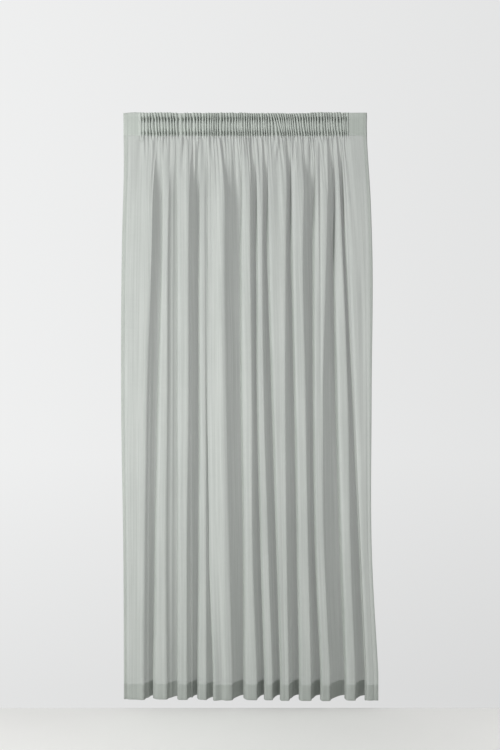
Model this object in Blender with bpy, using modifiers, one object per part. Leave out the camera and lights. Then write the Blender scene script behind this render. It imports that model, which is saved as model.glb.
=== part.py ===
"""Sheer voile curtain: one gathered panel on a pencil-pleat heading tape.

Metres, +Z up. The front faces -Y, and +X is to the right as the front is seen.
The origin is in the middle of the heading's top edge, where the curtain is held up.
"""

import math
import random

import bpy
import numpy as np

# Driving dimensions
DROP = 2.500  # heading's top edge to the hem's edge
FLAT_WIDTH = 2.100  # the side-hemmed panel before it is gathered
HEADING_LEFT, HEADING_RIGHT = -0.519, 0.521  # ends of the gathered heading
CLOTH_THICKNESS = 0.0010
DOUBLED_THICKNESS = 0.0016  # in the hem, the side hems and the turned-down top
HEM_DEPTH = 0.066
HEM_SLANT = 0.004  # the hem hangs this much higher at the left, and lower at the right
SIDE_HEM = 0.018
HEM_STEP = 0.001  # the width in which doubled cloth thins to single cloth

# Heading tape and its cord. The panel's top is turned down behind as far as the
# tape's foot.
TAPE_TOP, TAPE_FOOT = -0.020, -0.100
TAPE_THICKNESS = 0.0010
TAPE_END = 0.006  # the tape stops this far inside each side edge
SEAM_GAP = 0.0003
UPPER_CORD_ROW, LOWER_CORD_ROW = -0.030, -0.088
LOOP_FOOT = -0.125  # lowest point of the draw cord's loop
LOOP_RIDGES = (0, 1)  # the tape's ridges, from the left, that the loop's ends lie on
CORD_RADIUS = 0.0015
LOOP_STEPS = 12  # straight steps around the loop's half circle

# Pencil pleats, in groups along the heading. The cloth between the first and last
# group and the heading's ends is left flat.
PLEAT_GROUPS = (
    # from_x, to_x, pleats
    (-0.453, -0.350, 8),
    (-0.350, -0.239, 8),
    (-0.239, -0.132, 9),
    (-0.132, -0.017, 10),
    (-0.017, 0.085, 10),
    (0.085, 0.188, 10),
    (0.188, 0.295, 10),
    (0.295, 0.444, 13),
)
PLEAT_SPREAD = (0.65, 1.45)  # narrowest and widest pleat, beside the group's mean
PLEAT_SEED = 7

# How far a pleat leans to the right on its way from the upper to the lower cord row
LEANS = (
    # at_x, lean
    (-0.519, 0.000),
    (-0.453, 0.002),
    (-0.390, 0.012),
    (-0.340, 0.006),
    (-0.220, 0.008),
    (-0.100, 0.000),
    (0.110, 0.004),
    (0.140, 0.020),
    (0.165, 0.008),
    (0.250, 0.014),
    (0.300, 0.006),
    (0.390, 0.016),
    (0.440, 0.004),
    (0.521, 0.000),
)

# The heading's top edge, which is slightly uneven
TOP_EDGE = (
    # at_x, z
    (-0.519, -0.004),
    (-0.467, 0.000),
    (-0.425, -0.003),
    (-0.325, -0.001),
    (-0.280, -0.005),
    (-0.100, -0.003),
    (0.100, -0.005),
    (0.250, -0.005),
    (0.357, 0.000),
    (0.445, -0.004),
    (0.521, -0.004),
)

# The main folds from left to right, in mm from the centre line: the left and right edges
# of each one's front face at the heights of FOLD_Z. face and recess are its depths to
# the front and to the back beside the others', sharp is 1 where its left edge is crisp
# and 0 where it is rounded, tuck is how far the recess before it reaches behind it, and
# deeper is how much its own recess grows towards the hem.
FOLD_Z = (-0.100, -0.269, -0.589, -1.230, -1.870, -2.383)
FOLDS = (
    # left and right at each height, then face, recess, sharp, tuck, deeper
    (-519, -378, -515, -386, -521, -394, -524, -412, -515, -420, -513, -424, 1.0, 0.2, 0.9, 0, 0.4),
    (-366, -318, -358, -320, -358, -325, -374, -328, -385, -333, -392, -330, 0.9, -0.1, 0.5, 4, 0.5),
    (-297, -232, -292, -235, -290, -238, -290, -238, -288, -245, -288, -245, 1.0, 0.7, 0.9, 2, 0.2),
    (-200, -174, -199, -170, -199, -169, -198, -166, -199, -163, -203, -161, 0.9, -0.7, 0.7, 3, 0.9),
    (-170, -92, -161, -84, -159, -84, -160, -78, -153, -66, -133, -54, 1.0, 0.9, 0.0, 2, 0.1),
    (-27, 19, -21, 22, -21, 23, -17, 30, -7, 33, -4, 50, 0.9, 0.9, 0.6, 4, 0.2),
    (32, 72, 40, 75, 46, 74, 50, 81, 65, 99, 81, 116, 0.9, 0.9, 0.9, 6, 0.2),
    (82, 174, 87, 176, 93, 174, 112, 172, 132, 178, 148, 187, 1.0, 1.0, 1.0, 8, 0.2),
    (184, 246, 187, 250, 194, 246, 208, 257, 220, 268, 229, 280, 1.0, 1.0, 0.9, 9, 0.2),
    (281, 352, 287, 352, 287, 346, 288, 330, 297, 336, 320, 360, 1.0, 1.0, 1.0, 11, 0.2),
    (366, 390, 375, 400, 379, 414, 390, 437, 408, 448, 428, 468, 0.8, 0.9, 0.9, 7, 0.2),
    (400, 519, 409, 528, 426, 540, 456, 537, 485, 538, 509, 566, 0.7, 1.0, 0.9, 8, 0.0),
)
FACE, RECESS, SHARP, TUCK, DEEPER = 12, 13, 14, 15, 16

# The points that a fold's plan section runs through. across is a share of the front
# face, or of the gap that follows it. depth is a share of the fold's half depth, and
# is negative towards the front. A rounded fold's left edge lies as the first two rows
# say, and a sharp one's is nearer to the front and turns in less width.
STATIONS = (
    # over, across, depth
    ("edge", 0.00, -0.10),
    ("edge", 0.50, -0.92),
    ("face", 0.60, -1.00),
    ("face", 1.00, -0.90),
    ("gap", 0.14, -0.35),
    ("gap", 0.42, 0.20),
    ("gap", 0.80, 0.82),
    ("gap", 1.00, 1.00),
)
SHARP_ACROSS, SHARP_DEPTH = -0.80, -0.40
SHOULDER_DEPTH, SIDE_EDGE_DEPTH = -0.90, -0.86  # a face's right edge, and the side edges
LAST_STATION = 3  # the last fold ends at the side edge, on its right shoulder
BEND = 1.05  # a curved section's length beside its straight chords'

# Below the heading the pleats die out and the main folds begin
FOLDS_FULL_Z = -0.400
PLEAT_FADE = 0.025

# Heights of the panel's rows of points below the heading, and above the hem
BODY_ROWS = (-0.125, -0.160, -0.210, -0.269, -0.400, -0.589, -0.900, -1.230, -1.870, -2.383)

COLOURS = {
    # object: (colour, roughness)
    "voile_panel": ((0.52, 0.57, 0.53), 0.85),
    "heading_tape": ((0.60, 0.64, 0.60), 0.80),
    "draw_cord_loop": ((0.50, 0.54, 0.51), 0.75),
}


def clear_scene():
    for thing in list(bpy.data.objects):
        bpy.data.objects.remove(thing, do_unlink=True)


def column(table, place):
    return np.array([row[place] for row in table], dtype=float)


def smooth_through(knots, values, at):
    """A smooth curve through the knots, read at the given places."""
    slopes = np.gradient(values, knots)
    at = np.clip(at, knots[0], knots[-1])
    i = np.clip(np.searchsorted(knots, at) - 1, 0, len(knots) - 2)
    width = knots[i + 1] - knots[i]
    t = (at - knots[i]) / width
    return (
        (1 + 2 * t) * (1 - t) ** 2 * values[i]
        + t * (1 - t) ** 2 * width * slopes[i]
        + t * t * (3 - 2 * t) * values[i + 1]
        - t * t * (1 - t) * width * slopes[i + 1]
    )


def pleat_columns():
    """Cloth coordinate, x and y of the heading at each end, pleat tip and valley."""
    rng = random.Random(PLEAT_SEED)
    flat = PLEAT_GROUPS[0][0] - HEADING_LEFT
    flat += HEADING_RIGHT - PLEAT_GROUPS[-1][1]
    cloth = (FLAT_WIDTH - flat) / sum(group[2] for group in PLEAT_GROUPS)
    u, x = PLEAT_GROUPS[0][0] - HEADING_LEFT, PLEAT_GROUPS[0][0]
    columns = [(u, x, 0.25 * cloth)]
    for from_x, to_x, pleats in PLEAT_GROUPS:
        shares = [rng.uniform(*PLEAT_SPREAD) for _ in range(pleats)]
        for share in shares:
            pitch = (to_x - from_x) * share / sum(shares)
            half_depth = 0.25 * math.sqrt(cloth**2 - pitch**2)
            columns.append((u + cloth / 2, x + pitch / 2, -half_depth))
            columns.append((u + cloth, x + pitch, half_depth))
            u, x = u + cloth, x + pitch
    return columns


def heading_columns():
    """The pleats' columns with those of the flat ends and the side hems' edges."""
    pleats = pleat_columns()
    first, last = pleats[0], pleats[-1]
    left, right = [], []
    for u in (0.0, SIDE_HEM, SIDE_HEM + HEM_STEP, 0.6 * first[0]):
        left.append((u, HEADING_LEFT + u, first[2] * u / first[0]))
    for from_edge in (0.6 * (FLAT_WIDTH - last[0]), SIDE_HEM + HEM_STEP, SIDE_HEM, 0.0):
        y = last[2] * from_edge / (FLAT_WIDTH - last[0])
        right.append((FLAT_WIDTH - from_edge, HEADING_RIGHT - from_edge, y))
    return np.array(left + pleats + right).T


def heading_section(z):
    """Plan of the heading at a height, or at one height for each column."""
    _, x, y = HEADING
    lean = np.interp(x, column(LEANS, 0), column(LEANS, 1))
    down = (z - UPPER_CORD_ROW) / (LOWER_CORD_ROW - UPPER_CORD_ROW)
    return x + lean * down, y


def fold_chain(height, half_depth):
    """Plan points of all folds at one of the heights in FOLD_Z."""
    lefts, rights = column(FOLDS, 2 * height), column(FOLDS, 2 * height + 1)
    lower = (FOLD_Z[height] / FOLD_Z[-1]) ** 2
    recesses = column(FOLDS, RECESS) + column(FOLDS, DEEPER) * lower
    points = []
    for i, fold in enumerate(FOLDS):
        last = i == len(FOLDS) - 1
        following = rights[i] if last else lefts[i + 1]
        tuck = 0 if last else FOLDS[i + 1][TUCK]
        for k, (over, across, depth) in enumerate(STATIONS):
            if over == "edge":
                across *= 1 + SHARP_ACROSS * fold[SHARP]
                depth += SHARP_DEPTH * fold[SHARP] * (k == 0)
            if over != "gap":
                x = lefts[i] + across * (rights[i] - lefts[i])
            else:
                x = rights[i] + across * (following - rights[i])
                x += tuck * depth * (across == 1.0)
            if over == "gap":
                sunk = (depth - SHOULDER_DEPTH) / (1 - SHOULDER_DEPTH)
                front = SHOULDER_DEPTH * fold[FACE]
                y = front + sunk * (recesses[i] - front)
            elif k == 0 and i == 0:
                y = SIDE_EDGE_DEPTH * fold[FACE]
            elif k == 0:
                y = min(depth * fold[FACE], recesses[i - 1])
            else:
                y = depth * fold[FACE]
            points.append((x / 1000, y * half_depth))
            if last and k == LAST_STATION:
                break
    return np.array(points)


def run(points):
    """Distance along a chain of points, from 0 to its whole length."""
    steps = np.hypot(*np.diff(points, axis=0).T)
    return np.concatenate([[0.0], np.cumsum(steps)])


def fold_sections():
    """Each height's plan points, as deep as the panel's width of cloth makes them."""
    sections = []
    for height in range(len(FOLD_Z)):
        low, high = 0.0, 0.1
        while high - low > 1e-5:
            middle = (low + high) / 2
            if BEND * run(fold_chain(height, middle))[-1] < FLAT_WIDTH:
                low = middle
            else:
                high = middle
        sections.append(fold_chain(height, low))
    return np.array(sections)


def station_cloth():
    """The cloth coordinate of each fold's points. A fold has the cloth that the heading
    has between its left edge and the next fold's, shared out as its sections are."""
    edges = np.interp(column(FOLDS, 0) / 1000, heading_section(TAPE_FOOT)[0], HEADING[0])
    edges[0] = 0.0
    edges = np.append(edges, FLAT_WIDTH)
    runs = np.mean([run(section) / run(section)[-1] for section in SECTIONS], axis=0)
    firsts = list(range(0, len(runs) - 1, len(STATIONS))) + [len(runs) - 1]
    cloth = np.zeros(len(runs))
    for i, (first, last) in enumerate(zip(firsts, firsts[1:])):
        share = (runs[first : last + 1] - runs[first]) / (runs[last] - runs[first])
        cloth[first : last + 1] = edges[i] + share * (edges[i + 1] - edges[i])
    return cloth


def fold_section(z):
    """Plan of the main folds at a height, read at the heading's columns."""
    down, heights = -z, -np.array(FOLD_Z)
    stations = [
        [smooth_through(heights, SECTIONS[:, k, axis], down) for axis in (0, 1)]
        for k in range(SECTIONS.shape[1])
    ]
    xs, ys = np.array(stations).T
    return smooth_through(CLOTH, xs, HEADING[0]), smooth_through(CLOTH, ys, HEADING[0])


def panel_section(z):
    """Plan of the panel at a height below the heading."""
    below = TAPE_FOOT - z
    share = min(below / (TAPE_FOOT - FOLDS_FULL_Z), 1)
    spread, deepened = 1 - (1 - share) ** 3, 1 - (1 - share) ** 2
    top_x, top_y = heading_section(TAPE_FOOT)
    fold_x, fold_y = fold_section(z)
    x = top_x + spread * (fold_x - top_x)
    return x, top_y * math.exp(-below / PLEAT_FADE) + deepened * fold_y


def grid_object(name, rows, doubled):
    """A sheet of triangles over rows of points, with a group for doubled cloth."""
    across = rows[0].shape[0]
    points = np.concatenate(rows)
    faces = []
    for row in range(len(rows) - 1):
        for k in range(across - 1):
            a = row * across + k
            b = a + across
            faces.append((a, a + 1, b + 1))
            faces.append((a, b + 1, b))
    mesh = bpy.data.meshes.new(name)
    mesh.from_pydata(points.tolist(), [], faces)
    sheet = bpy.data.objects.new(name, mesh)
    PARTS.objects.link(sheet)
    group = sheet.vertex_groups.new(name="doubled")
    group.add(np.flatnonzero(doubled).tolist(), 1.0, "REPLACE")
    return sheet


def thicken(sheet, thickness, offset):
    shell = sheet.modifiers.new("thickness", "SOLIDIFY")
    shell.thickness = thickness
    shell.offset = offset
    shell.use_even_offset = True
    shell.use_quality_normals = True
    return shell


def finish(thing):
    """Gives the object its own material and smooth shading."""
    colour, roughness = COLOURS[thing.name]
    material = bpy.data.materials.new(thing.name)
    material.use_nodes = True
    shader = material.node_tree.nodes["Principled BSDF"]
    shader.inputs["Base Color"].default_value = (*colour, 1.0)
    shader.inputs["Roughness"].default_value = roughness
    shader.inputs["Metallic"].default_value = 0.0
    thing.data.materials.append(material)


def make_panel():
    """The cloth, with its turned-down top, side hems and hem in one sheet."""
    u, x, _ = HEADING
    side = (u <= SIDE_HEM) | (u >= FLAT_WIDTH - SIDE_HEM)
    everywhere = np.ones(len(u), dtype=bool)
    rows, doubled = [], []

    def add_row(section, z, thick):
        rows.append(np.column_stack([*section, np.broadcast_to(z, u.shape)]))
        doubled.append(thick)

    top = np.interp(x, column(TOP_EDGE, 0), column(TOP_EDGE, 1))
    add_row(heading_section(top), top, everywhere)
    for z in (TAPE_TOP, TAPE_FOOT):
        add_row(heading_section(z), z, everywhere)
    add_row(panel_section(TAPE_FOOT - HEM_STEP), TAPE_FOOT - HEM_STEP, side)
    for z in BODY_ROWS:
        add_row(panel_section(z), z, side)
    foot_x, foot_y = panel_section(-DROP)
    slant = HEM_SLANT * foot_x / HEADING_RIGHT
    for above, thick in ((HEM_DEPTH + HEM_STEP, side), (HEM_DEPTH, everywhere), (0, everywhere)):
        add_row((foot_x, foot_y), above - DROP - slant, thick)

    panel = grid_object("voile_panel", rows, np.concatenate(doubled))
    shell = thicken(panel, DOUBLED_THICKNESS, 0.0)
    shell.vertex_group = "doubled"
    shell.thickness_vertex_group = CLOTH_THICKNESS / DOUBLED_THICKNESS
    finish(panel)


def make_tape():
    """The heading tape, sewn behind the pleats and following each of them."""
    u = HEADING[0]
    keep = (u >= SIDE_HEM) & (u <= FLAT_WIDTH - SIDE_HEM)
    rows = []
    for z in (TAPE_TOP, TAPE_FOOT):
        x, y = heading_section(z)
        x, y = x[keep], y[keep]
        x[0] += TAPE_END - SIDE_HEM
        x[-1] += SIDE_HEM - TAPE_END
        rows.append(np.column_stack([x, y, np.full(x.shape, z)]))
    tape = grid_object("heading_tape", rows, np.zeros(len(rows) * keep.sum(), dtype=bool))
    behind = DOUBLED_THICKNESS / 2 + SEAM_GAP
    thicken(tape, TAPE_THICKNESS, 1 + 2 * behind / TAPE_THICKNESS)
    finish(tape)


def ridge_behind(number, z):
    """x of one of the pleats' back ridges, and y where a cord lies on the tape there."""
    x, y = heading_section(z)
    ridges = [k for k in range(1, len(x) - 1) if y[k] > max(y[k - 1], y[k + 1])]
    k = ridges[number]
    half_angle = math.atan2((x[k + 1] - x[k - 1]) / 2, y[k] - y[k - 1])
    stack = DOUBLED_THICKNESS / 2 + SEAM_GAP + TAPE_THICKNESS
    return x[k], y[k] + stack / math.sin(half_angle) + SEAM_GAP + CORD_RADIUS


def make_cord_loop():
    """The draw cord's loop, which hangs below the tape at its left end."""
    (left, left_y), (right, right_y) = [ridge_behind(n, TAPE_FOOT) for n in LOOP_RIDGES]
    radius = (right - left) / 2
    y = max(left_y, right_y)
    centre_z = LOOP_FOOT + CORD_RADIUS + radius
    points = [(left, left_y, LOWER_CORD_ROW), (left, left_y, TAPE_FOOT)]
    for k in range(LOOP_STEPS + 1):
        turn = math.pi * k / LOOP_STEPS
        points.append(
            (left + radius * (1 - math.cos(turn)), y, centre_z - radius * math.sin(turn))
        )
    points += [(right, right_y, TAPE_FOOT), (right, right_y, LOWER_CORD_ROW)]
    curve = bpy.data.curves.new("draw_cord_loop", "CURVE")
    curve.dimensions = "3D"
    curve.bevel_depth = CORD_RADIUS
    curve.bevel_resolution = 2
    curve.use_fill_caps = True
    spline = curve.splines.new("POLY")
    spline.points.add(len(points) - 1)
    for point, place in zip(spline.points, points):
        point.co = (*place, 1.0)
    loop = bpy.data.objects.new("draw_cord_loop", curve)
    PARTS.objects.link(loop)
    finish(loop)


clear_scene()
PARTS = bpy.data.collections.new("voile_curtain")
bpy.context.scene.collection.children.link(PARTS)
HEADING = heading_columns()
SECTIONS = fold_sections()
CLOTH = station_cloth()
make_panel()
make_tape()
make_cord_loop()
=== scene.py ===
import math
import random

import bpy
import numpy as np
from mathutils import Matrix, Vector


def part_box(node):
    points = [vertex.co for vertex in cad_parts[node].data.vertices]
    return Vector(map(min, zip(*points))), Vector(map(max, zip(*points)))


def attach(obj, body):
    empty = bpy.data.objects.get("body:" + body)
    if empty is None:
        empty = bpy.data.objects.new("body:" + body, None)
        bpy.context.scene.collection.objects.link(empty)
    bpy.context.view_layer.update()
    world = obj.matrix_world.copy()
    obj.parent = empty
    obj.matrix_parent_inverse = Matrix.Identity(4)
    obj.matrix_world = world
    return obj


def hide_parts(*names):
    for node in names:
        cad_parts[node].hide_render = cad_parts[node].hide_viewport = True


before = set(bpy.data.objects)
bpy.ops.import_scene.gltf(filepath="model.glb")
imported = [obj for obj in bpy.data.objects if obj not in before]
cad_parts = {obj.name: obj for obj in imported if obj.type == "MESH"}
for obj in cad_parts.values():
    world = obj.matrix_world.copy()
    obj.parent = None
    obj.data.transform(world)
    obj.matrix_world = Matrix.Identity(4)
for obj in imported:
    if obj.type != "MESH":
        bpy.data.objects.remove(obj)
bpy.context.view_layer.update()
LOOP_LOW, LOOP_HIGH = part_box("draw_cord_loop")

# Sizes of the panel, in metres, as in the part
DROP = 2.500
FLAT_WIDTH = 2.100
HEADING_LEFT, HEADING_RIGHT = -0.519, 0.521
HEM_DEPTH, HEM_SLANT, SIDE_HEM, TURNED_TOP = 0.066, 0.004, 0.018, 0.100
TAPE_TOP, TAPE_FOOT = -0.020, -0.100
UPPER_CORD_ROW, LOWER_CORD_ROW = -0.030, -0.088
CORD_RADIUS = 0.0020  # a little more than in the part, to show through the cloth

# The camera stands square to the curtain. One pixel of the picture, which is 500 by 750,
# is PIXEL metres at the curtain.
PIXEL = 0.00427
LENS, SENSOR = 38.0, 36.0
PICTURE_HEIGHT = 750
CAMERA_X = 0.0213
CAMERA_Z = -1.123

# The pencil pleats, in groups along the heading. A pleat's share of its group's width is
# drawn from PLEAT_SPREAD. LEANS says how far they lean to the right between the upper and
# the lower cord row, and TOP_EDGE how uneven the heading's top is.
PLEAT_GROUPS = (
    # from_x, to_x, pleats
    (-0.453, -0.350, 8),
    (-0.350, -0.239, 8),
    (-0.239, -0.132, 9),
    (-0.132, -0.017, 10),
    (-0.017, 0.085, 10),
    (0.085, 0.188, 10),
    (0.188, 0.295, 10),
    (0.295, 0.444, 13),
)
PLEAT_SPREAD = (0.65, 1.45)
PLEAT_SEED = 7
LEANS = (
    # at_x, lean
    (-0.519, 0.000),
    (-0.453, 0.000),
    (-0.390, 0.004),
    (-0.340, 0.003),
    (-0.220, 0.002),
    (-0.100, 0.000),
    (0.110, 0.003),
    (0.140, 0.016),
    (0.165, 0.005),
    (0.250, 0.008),
    (0.300, 0.002),
    (0.390, 0.006),
    (0.440, 0.001),
    (0.521, 0.000),
)
TOP_EDGE = (
    # at_x, z
    (-0.519, -0.004),
    (-0.467, 0.000),
    (-0.425, -0.003),
    (-0.325, -0.001),
    (-0.280, -0.005),
    (-0.100, -0.003),
    (0.100, -0.005),
    (0.250, -0.005),
    (0.357, 0.000),
    (0.445, -0.004),
    (0.521, -0.004),
)

# The main folds, as in the part, in mm: the left and right edges of each one's front
# face at the heights of FOLD_Z. face and recess are its depths to the front and to the
# back beside the others', sharp is 1 where its left edge is crisp and 0 where it is
# rounded, tuck is how far the recess before it reaches behind it, and deeper is how
# much its own recess grows towards the hem.
FOLD_Z = (-0.100, -0.269, -0.589, -1.230, -1.870, -2.383)
FOLDS = (
    # left and right at each height, then face, recess, sharp, tuck, deeper
    (-519, -378, -515, -386, -521, -394, -524, -412, -515, -420, -513, -424, 1.0, 0.2, 0.9, 0, 0.4),
    (-366, -318, -358, -320, -358, -325, -374, -328, -385, -333, -392, -330, 0.9, -0.1, 0.5, 4, 0.5),
    (-297, -232, -292, -235, -290, -238, -290, -238, -288, -245, -288, -245, 1.0, 0.7, 0.9, 2, 0.2),
    (-200, -174, -199, -170, -199, -169, -198, -166, -199, -163, -203, -161, 0.9, -0.7, 0.7, 3, 0.9),
    (-170, -92, -161, -84, -159, -84, -160, -78, -153, -66, -133, -54, 1.0, 0.9, 0.0, 2, 0.1),
    (-27, 19, -21, 22, -21, 23, -17, 30, -7, 33, -4, 50, 0.9, 0.9, 0.6, 4, 0.2),
    (32, 72, 40, 75, 46, 74, 50, 81, 65, 99, 81, 116, 0.9, 0.9, 0.9, 6, 0.2),
    (82, 174, 87, 176, 93, 174, 112, 172, 132, 178, 148, 187, 1.0, 1.0, 1.0, 8, 0.2),
    (184, 246, 187, 250, 194, 246, 208, 257, 220, 268, 229, 280, 1.0, 1.0, 0.9, 9, 0.2),
    (281, 352, 287, 352, 287, 346, 288, 330, 297, 336, 320, 360, 1.0, 1.0, 1.0, 11, 0.2),
    (366, 390, 375, 400, 379, 414, 390, 437, 408, 448, 428, 468, 0.8, 0.9, 0.9, 7, 0.2),
    (400, 519, 409, 528, 426, 540, 456, 537, 485, 538, 509, 566, 0.7, 1.0, 0.9, 8, 0.0),
)
FACE, RECESS, SHARP, TUCK, DEEPER = 12, 13, 14, 15, 16
# The points of one fold's plan, from its left edge over its face and across the recess
# to the next fold. The left edge of a rounded fold is further back, and its shoulder is
# further across.
STATIONS = (
    # over, across, depth
    ("edge", 0.00, -0.10),
    ("edge", 0.50, -0.92),
    ("face", 0.60, -1.00),
    ("face", 1.00, -0.94),
    ("gap", 0.11, -0.42),
    ("gap", 0.40, 0.20),
    ("gap", 0.80, 0.82),
    ("gap", 1.00, 1.00),
)
SHARP_ACROSS, SHARP_DEPTH = -0.80, -0.40  # a crisp left edge turns sooner, further forward
SHOULDER_DEPTH, SIDE_EDGE_DEPTH = -0.94, -0.86  # at a face's right end, at the panel's left
LAST_STATION = 3  # the last fold ends here, at its right edge
DEEPER_POWER = 5  # how late on the way down a recess deepens
BEND = 1.05  # a smooth fold's length beside that of its straight steps

# Creases that run from the heading to the hem, in mm. Each is a trough at the given x
# at the heights of FOLD_Z, and a negative depth makes it a ridge.
CREASES = (
    # x at each height, then depth at the top, depth at the foot, half width
    (-500, -500, -505, -508, -502, -500, 0.8, 3.0, 4.5),
    (-385, -386, -392, -402, -408, -411, -4.0, -8.0, 5.0),
    (-296, -303, -306, -308, -311, -313, -2.5, -3.0, 5.5),
    (-232, -230, -228, -227, -225, -225, -2.0, -14.0, 4.5),
    (-104, -98, -98, -96, -90, -80, -3.0, -3.0, 13.0),
    (-58, -58, -58, -50, -40, -30, -2.0, 0.0, 5.0),
    (264, 268, 268, 272, 280, 292, 0.0, -4.0, 3.0),
    (172, 176, 178, 182, 188, 200, -1.0, -4.0, 3.5),
    (100, 96, 94, 92, 106, 124, 0.0, -3.0, 3.0),
    (318, 318, 319, 322, 334, 346, 4.0, 0.0, 4.5),
    (500, 505, 512, 519, 524, 548, 1.0, 2.5, 4.0),
)

# Short gathers and soft creases. Each is a trough from one point of the front to
# another. It starts with the row's depth and half width, widens on the way down and dies
# out at its end. A negative depth makes it a ridge.
GATHERS = (
    # from_x, from_z, to_x, to_z, depth, half_width
    (-0.449, -0.102, -0.463, -0.440, 0.0040, 0.009),
    (-0.382, -0.110, -0.396, -0.420, 0.0050, 0.004),
    (-0.372, -0.098, -0.376, -0.260, 0.0080, 0.005),
    (-0.345, -0.100, -0.347, -0.200, 0.0060, 0.004),
    (-0.316, -0.110, -0.320, -0.342, 0.0050, 0.005),
    (-0.262, -0.100, -0.269, -0.275, 0.0080, 0.005),
    (-0.231, -0.110, -0.231, -0.330, 0.0050, 0.004),
    (-0.214, -0.098, -0.224, -0.260, 0.0070, 0.004),
    (-0.196, -0.115, -0.211, -0.370, 0.0100, 0.006),
    (-0.146, -0.100, -0.144, -0.195, 0.0080, 0.004),
    (-0.131, -0.098, -0.133, -0.160, 0.0070, 0.003),
    (-0.145, -0.210, -0.138, -0.900, 0.0030, 0.004),
    (-0.101, -0.098, -0.070, -0.390, 0.0100, 0.006),
    (-0.080, -0.098, -0.076, -0.240, 0.0080, 0.004),
    (-0.048, -0.102, -0.027, -0.590, 0.0090, 0.007),
    (0.004, -0.098, 0.010, -0.200, 0.0070, 0.004),
    (0.024, -0.098, 0.034, -0.330, 0.0090, 0.004),
    (0.077, -0.098, 0.082, -0.280, 0.0100, 0.004),
    (0.129, -0.102, 0.118, -0.180, 0.0060, 0.004),
    (0.149, -0.115, 0.132, -0.250, 0.0070, 0.005),
    (0.098, -0.140, 0.100, -0.560, -0.0060, 0.010),
    (0.144, -0.140, 0.140, -0.560, 0.0060, 0.010),
    (0.176, -0.098, 0.181, -0.280, 0.0100, 0.004),
    (0.212, -0.098, 0.201, -0.320, 0.0100, 0.005),
    (0.250, -0.098, 0.256, -0.330, 0.0110, 0.006),
    (0.280, -0.098, 0.281, -0.300, 0.0090, 0.004),
    (0.322, -0.130, 0.332, -0.320, 0.0070, 0.006),
    (0.340, -0.102, 0.336, -0.240, 0.0070, 0.004),
    (0.358, -0.098, 0.368, -0.300, 0.0100, 0.004),
    (0.318, -0.210, 0.318, -0.800, 0.0040, 0.004),
    (0.378, -0.098, 0.379, -0.165, 0.0070, 0.004),
    (0.396, -0.098, 0.408, -0.280, 0.0100, 0.004),
    (0.427, -0.110, 0.460, -0.480, 0.0060, 0.010),
    (0.450, -0.330, 0.500, -0.850, 0.0025, 0.011),
    (0.495, -0.717, 0.504, -1.500, 0.0040, 0.011),
)

GATHER_START, GATHER_WIDENS, GATHER_FADE = 0.08, 0.6, 0.8
CREASE_START = 0.03  # the share of the drop in which a long crease sets in

# How the folds take over from the pleats below the heading. Threads hang straight down
# from it at first and spread into the folds by SETTLED_Z.
FOLDS_FULL_Z, SETTLED_Z = -0.400, -1.100
PLEAT_FADES = (0.008, 0.090)  # the shortest way down in which a pleat fades, and its spread
PLEAT_FADE_POWER = 1.2
SHIFT_FADES = 0.050  # the way down in which the heading's x gives way to the folds'
HELD_BY_PLEATS = 0.85  # how nearly straight down the threads hang at first
RIPPLES = (
    # pleats a wave, depth, where it is deepest below the tape
    (2.3, 0.0030, 0.035),
    (4.1, 0.0025, 0.090),
)
RIPPLE_SHIFT, RIPPLE_EVEN, RIPPLE_UNEVEN = 2, 0.6, 0.4

# The mesh's steps
PLEAT_SHARES = (0.00, 0.12, 0.24, 0.36, 0.46, 0.54, 0.64, 0.76, 0.88)
FLAT_STEP = 0.006
ROW_SPANS = (
    # to_z, step
    (-0.040, 0.0044),
    (-0.076, 0.0090),
    (-0.100, 0.0040),
    (-0.130, 0.0050),
    (-0.400, 0.0110),
    (-0.700, 0.0270),
    (HEM_DEPTH - DROP, 0.0500),
    (-DROP, 0.0110),
)
LAYER_GAP = 0.0006  # between the two layers of doubled cloth


def column(table, place):
    return np.array([row[place] for row in table], dtype=float)


def smooth_through(knots, values, at):
    """A smooth curve through the knots, read at the given places."""
    slopes = np.gradient(values, knots)
    at = np.clip(at, knots[0], knots[-1])
    i = np.clip(np.searchsorted(knots, at) - 1, 0, len(knots) - 2)
    width = knots[i + 1] - knots[i]
    t = (at - knots[i]) / width
    return (
        (1 + 2 * t) * (1 - t) ** 2 * values[i]
        + t * (1 - t) ** 2 * width * slopes[i]
        + t * t * (3 - 2 * t) * values[i + 1]
        - t * t * (1 - t) * width * slopes[i + 1]
    )


# The heading

CURVE_POINTS = 161
LEAST_TURN, MOST_TURN, TURN_ERROR = 0.1, 2.2, 1e-4  # of a pleat's sides, in radians
SET_BACK = 0.2  # how far the valleys lie behind the side edges, as a share of a pleat's cloth


def pleat_curve(pitch, cloth):
    """x and y along one pleat, from valley to valley, bent as an elastic strip bends."""
    along = np.linspace(0, 1, CURVE_POINTS)
    low, high = LEAST_TURN, MOST_TURN
    while high - low > TURN_ERROR:
        turn = (low + high) / 2
        if np.cos(turn * np.sin(2 * math.pi * along[:-1])).mean() > pitch / cloth:
            low = turn
        else:
            high = turn
    angle = low * np.sin(2 * math.pi * (along[:-1] + along[1:]) / 2)
    x = np.concatenate([[0], np.cumsum(np.cos(angle))])
    y = -np.concatenate([[0], np.cumsum(np.sin(angle))]) / len(angle) * cloth
    return along, x * pitch / x[-1], y


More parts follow.
